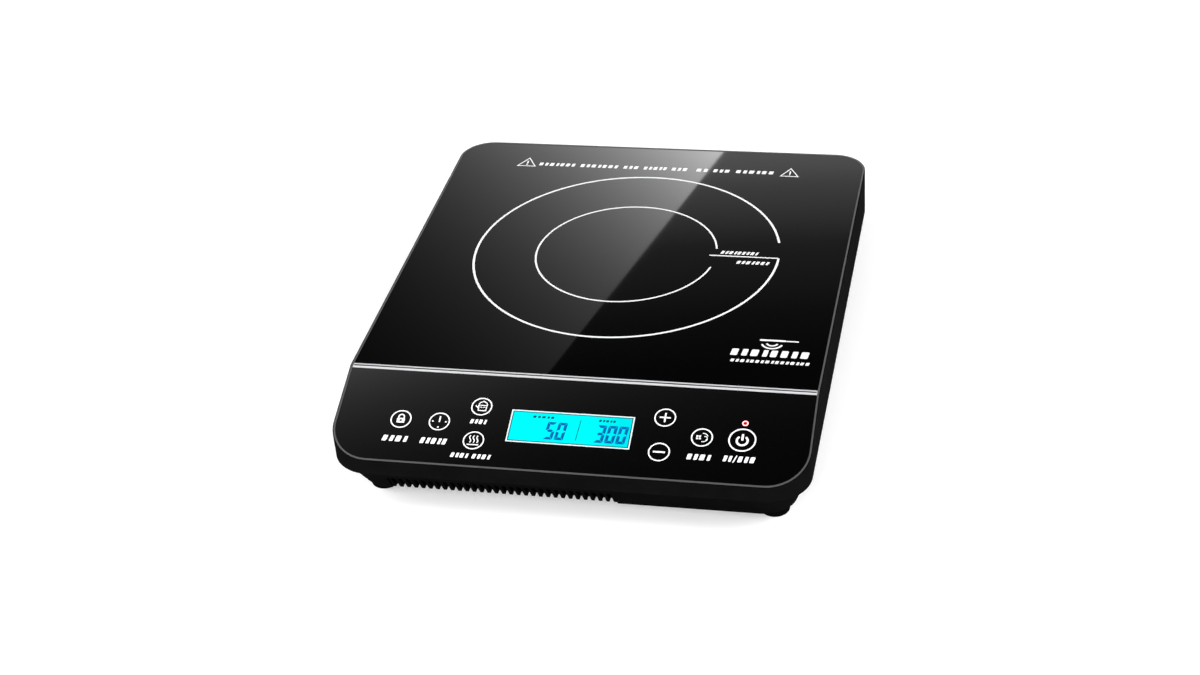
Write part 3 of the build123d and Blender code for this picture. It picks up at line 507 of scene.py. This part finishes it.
labels = Print(on_panel)
for left, right, low, high, letters in (
    (-112.3, -95.8, -54.6, -50.4, 4),
    (-88.7, -71.5, -54.6, -50.4, 5),
    (-61.0, -50.4, -38.0, -34.9, 4),
    (-67.9, -56.5, -63.0, -59.8, 4),
    (-54.8, -42.9, -63.0, -59.8, 4),
    (72.5, 87.4, -53.4, -49.4, 4),
    (93.8, 99.6, -53.1, -49.0, 2),
    (102.4, 113.6, -53.1, -49.0, 3),
):
    word(labels, left, right, low, high, letters, 0.2)
labels.stroke([(100.0, -53.6), (101.8, -48.6)], 0.7)
labels.build("key_words", white_ink)

# ---- display -------------------------------------------------------------------------------------
def liquid_crystal(name, fade_start=8, fade_end=30):
    """The lit field, a little dimmer between two places, in millimetres, on its right."""
    material, nodes, links, shader = new_material(name)
    place = nodes.new("ShaderNodeTexCoord")
    split = nodes.new("ShaderNodeSeparateXYZ")
    across = nodes.new("ShaderNodeMapRange")
    across.inputs["From Min"].default_value = fade_start * MM
    across.inputs["From Max"].default_value = fade_end * MM
    tone = nodes.new("ShaderNodeValToRGB")
    tone.color_ramp.elements[0].color = (0.0, 0.9, 0.9, 1)
    tone.color_ramp.elements[1].color = (0.0, 0.72, 0.76, 1)
    links.new(place.outputs["Object"], split.inputs["Vector"])
    links.new(split.outputs["X"], across.inputs["Value"])
    links.new(across.outputs["Result"], tone.inputs["Fac"])
    links.new(tone.outputs["Color"], shader.inputs["Emission Color"])
    shader.inputs["Emission Strength"].default_value = 1.0
    shader.inputs["Base Color"].default_value = (0.0, 0.1, 0.1, 1)
    shader.inputs["Roughness"].default_value = LIT_ROUGHNESS
    shader.inputs["Specular IOR Level"].default_value = 0.0
    return material


cyan_glow = liquid_crystal("cyan_glow")
blue_glow = glow("blue_glow", (0.0, 0.06, 0.2), (0.0, 0.072, 0.24), 0.6)
dim_glow = glow("dim_glow", (0.0, 0.03, 0.05), (0.0, 0.036, 0.06), 0.3)
display_left, display_right = -36.4, 37.8
display_low, display_high = -48.9, -26.4



def display_outline(sheet, inset, width):
    """A line round the display, set in from its outline."""
    left, right = display_left + inset, display_right - inset
    low, high = display_low + inset, display_high - inset
    sheet.stroke([(left, low), (right, low), (right, high), (left, high)], width, closed=True)


border = Print(on_panel, film=0.08)
display_outline(border, 0, 0.8)
border.build("display_border", pale_ink)

field = Print(on_panel, film=0.04)
field.bar(display_left + 0.3, display_low + 0.3, display_right - 0.3, display_high - 0.3)
field.build("display_field", cyan_glow)

hairline = Print(on_panel, base=0.04, film=0.02)
display_outline(hairline, 0.75, 0.6)
hairline.stroke([(5.2, -45.6), (6.1, -30.8)], 0.45)
word(hairline, -23.3, -9.5, -31.0, -29.5, 5, 0.2)
word(hairline, 16.9, 27.7, -31.0, -29.5, 5, 0.2)
hairline.build("display_lines", dim_glow)

SEGMENTS = {"0": "abcdef", "3": "abcdg", "5": "acdfg"}


def digit(sheet, left, low, figure, width=5.6, tall=12.6, thick=1.85, gap=0.2, lean=0.1):
    """A seven-segment figure that leans to the right."""
    half = tall / 2
    shapes = {
        "a": [(gap, tall), (width - gap, tall), (width - thick, tall - thick), (thick, tall - thick)],
        "d": [(thick, thick), (width - thick, thick), (width - gap, 0), (gap, 0)],
        "g": [(thick, half + thick / 2), (width - thick, half + thick / 2),
              (width - thick / 2, half), (width - thick, half - thick / 2),
              (thick, half - thick / 2), (thick / 2, half)],
        "f": [(0, tall - gap), (thick, tall - thick - gap), (thick, half + thick / 2 + gap),
              (0, half + gap)],
        "e": [(0, half - gap), (thick, half - thick / 2 - gap), (thick, thick + gap), (0, gap)],
    }
    for key, source in (("b", "f"), ("c", "e")):
        shapes[key] = [(width - x, y) for x, y in reversed(shapes[source])]
    for key in SEGMENTS[figure]:
        sheet.fill([(left + x + y * lean, low + y) for x, y in shapes[key]])


digits_low = -46.0
digits = Print(on_panel, base=0.04, film=0.03)
for left, figure in ((-14.6, "5"), (-8.0, "0"), (15.8, "3"), (22.4, "0"), (29.0, "0")):
    digit(digits, left, digits_low, figure)
digits.build("display_digits", blue_glow)

# ---- power lamp ----------------------------------------------------------------------------------
lamp_x, lamp_y = 103.8, -25.4
halo_glow = glow("halo_glow", (1.0, 0.4, 0.42), (1.0, 0.46, 0.48), 1.1)
core_glow = glow("core_glow", (0.28, 0.0, 0.0), (0.36, 0.0, 0.0), 0.6)
halo = Print(on_panel)
halo.ring(lamp_x, lamp_y, 1.5, 0.7)
halo.build("lamp_ring", halo_glow)
core = Print(on_panel)
core.disc(lamp_x, lamp_y, 1.15)
core.build("lamp_core", core_glow)

# ---- camera, stage and light ---------------------------------------------------------------------
camera_place = Vector((0.26995, -1.12548, 0.78235))
camera_turn = math.radians(14.146)  # round to the cooktop's right
camera_tilt = math.radians(33.343)  # down from level
camera_roll = math.radians(-4.681)

level_right = Vector((math.cos(camera_turn), math.sin(camera_turn), 0))
camera_back = Vector((
    math.sin(camera_turn) * math.cos(camera_tilt),
    -math.cos(camera_turn) * math.cos(camera_tilt),
    math.sin(camera_tilt),
))
level_up = camera_back.cross(level_right)
camera_right = level_right * math.cos(camera_roll) + level_up * math.sin(camera_roll)
camera_up = level_up * math.cos(camera_roll) - level_right * math.sin(camera_roll)
camera_data = bpy.data.cameras.new("camera")
camera_data.sensor_width = 36
camera_data.lens = 63.27
camera = bpy.data.objects.new("camera", camera_data)
camera.matrix_world = Matrix.Translation(camera_place) @ Matrix(
    (camera_right, camera_up, camera_back)
).transposed().to_4x4()
bpy.context.scene.collection.objects.link(camera)
bpy.context.scene.camera = camera


def flat_mesh(name, corners):
    """A single flat face."""
    mesh = bpy.data.meshes.new(name)
    mesh.from_pydata(corners, [], [list(range(len(corners)))])
    return mesh


def stage_piece(name, mesh, look):
    """A piece of the studio, which isn't part of the cooktop."""
    mesh.materials.append(look)
    piece = bpy.data.objects.new(name, mesh)
    bpy.context.scene.collection.objects.link(piece)
    return piece


floor_look = new_material("floor_look")[0]
floor_shader = floor_look.node_tree.nodes["Principled BSDF"]
floor_shader.inputs["Base Color"].default_value = (0.75, 0.75, 0.75, 1)
floor_shader.inputs["Roughness"].default_value = 1.0
floor_shader.inputs["Specular IOR Level"].default_value = 0.0
floor_shader.inputs["Emission Color"].default_value = (1, 1, 1, 1)
floor_shader.inputs["Emission Strength"].default_value = 0.36
reach = 9.0
floor_corners = [(-reach, -reach, 0), (reach, -reach, 0), (reach, reach, 0), (-reach, reach, 0)]
stage_piece("studio_floor", flat_mesh("studio_floor", floor_corners), floor_look)

# a soft box behind the cooktop, whose slanted edge shows as a diagonal in the glass
box_y = 2.0
mirror_eye = Vector((camera_place.x, camera_place.y, 2 * plate_top - camera_place.z))


def seen_in_plate(x, y):
    """Where the eye's ray by way of this point of the plate meets the soft box's plane."""
    ray = Vector((x * MM, y * MM, plate_top)) - mirror_eye
    return mirror_eye + ray * ((box_y - mirror_eye.y) / ray.y)


# its right edge, by two points of the plate where the edge is seen, and how far the box goes on
# past each of them, as shares of the distance between
past_front, past_back = 0.6, 0.06
edge_back = seen_in_plate(43.6, 178.9)
edge_front = seen_in_plate(-19.0, -101.5)
edge = edge_front - edge_back
upper_corner = edge_front + edge * past_front
lower_corner = edge_back - edge * past_back


def falling_light(name, level, slopes):
    """Light whose brightness falls off evenly, by slopes per metre along X, Y and Z."""
    material = bpy.data.materials.new(name)
    material.use_nodes = True
    nodes = material.node_tree.nodes
    links = material.node_tree.links
    nodes.clear()
    place = nodes.new("ShaderNodeTexCoord")
    along = nodes.new("ShaderNodeVectorMath")
    along.operation = "DOT_PRODUCT"
    along.inputs[1].default_value = slopes
    total = nodes.new("ShaderNodeMath")
    total.inputs[1].default_value = level
    power = nodes.new("ShaderNodeMath")
    power.operation = "POWER"
    power.inputs[0].default_value = math.e
    light = nodes.new("ShaderNodeEmission")
    out = nodes.new("ShaderNodeOutputMaterial")
    links.new(place.outputs["Object"], along.inputs[0])
    links.new(along.outputs["Value"], total.inputs[0])
    links.new(total.outputs["Value"], power.inputs[1])
    links.new(power.outputs["Value"], light.inputs["Strength"])
    links.new(light.outputs["Emission"], out.inputs["Surface"])
    return material


def soft_panel(name, corners, level, slopes):
    """A luminous panel that the camera itself doesn't see."""
    panel = stage_piece(name, flat_mesh(name, corners), falling_light(name, level, slopes))
    panel.visible_camera = False
    panel.visible_shadow = False


left_end = -2.6
soft_panel(
    "softbox",
    [upper_corner, lower_corner, (left_end, box_y, lower_corner.z), (left_end, box_y, upper_corner.z)],
    7.22,
    (4.51, 0, -3.97),
)

# a panel overhead, which the sloping front shows brightest on the left
roof = 2.2
roof_left, roof_right = -1.5, 0.4
roof_near, roof_far = 0.2, 0.6
soft_panel(
    "roof_light",
    [(roof_left, roof_near, roof), (roof_right, roof_near, roof),
     (roof_right, roof_far, roof), (roof_left, roof_far, roof)],
    -8.65,
    (-3.42, 10.1, 0),
)


def area_light(name, place, target, size, power):
    """A square soft light that points at a target."""
    data = bpy.data.lights.new(name, "AREA")
    data.size = size
    data.energy = power
    light = bpy.data.objects.new(name, data)
    light.location = place
    aim = Vector(target) - Vector(place)
    light.rotation_euler = aim.to_track_quat("-Z", "Y").to_euler()
    bpy.context.scene.collection.objects.link(light)


area_light("key_light", (-2.2, -1.2, 2.4), (0, 0, 0), 1.6, 75)
area_light("fill_light", (2.4, -0.6, 2.2), (0, 0, 0), 1.6, 75)
area_light("front_light", (0.4, -2.6, 2.0), (0, 0, 0), 1.6, 60)

# the sky, pale at the horizon and dark above: heights between the ends, with their levels
sky_stops = ((0.4825, 0.78), (0.492, 0.5), (0.5045, 0.31), (0.516, 0.13),
             (0.53, 0.088), (0.543, 0.042), (0.564, 0.011))
world = bpy.data.worlds.new("studio")
world.use_nodes = True
sky = world.node_tree.nodes
sky_links = world.node_tree.links
direction = sky.new("ShaderNodeTexCoord")
height = sky.new("ShaderNodeSeparateXYZ")
fade = sky.new("ShaderNodeValToRGB")
fade.color_ramp.elements[0].position = 0.46
fade.color_ramp.elements[0].color = (0.95, 0.95, 0.96, 1)
fade.color_ramp.elements[1].position = 0.62
fade.color_ramp.elements[1].color = (0.004, 0.004, 0.004, 1)
for position, level in sky_stops:
    stop = fade.color_ramp.elements.new(position)
    stop.color = (level, level, level, 1)
sky_links.new(direction.outputs["Generated"], height.inputs["Vector"])
sky_links.new(height.outputs["Z"], fade.inputs["Fac"])
sky_links.new(fade.outputs["Color"], sky["Background"].inputs["Color"])
bpy.context.scene.world = world
bpy.context.scene.view_settings.view_transform = "Standard"
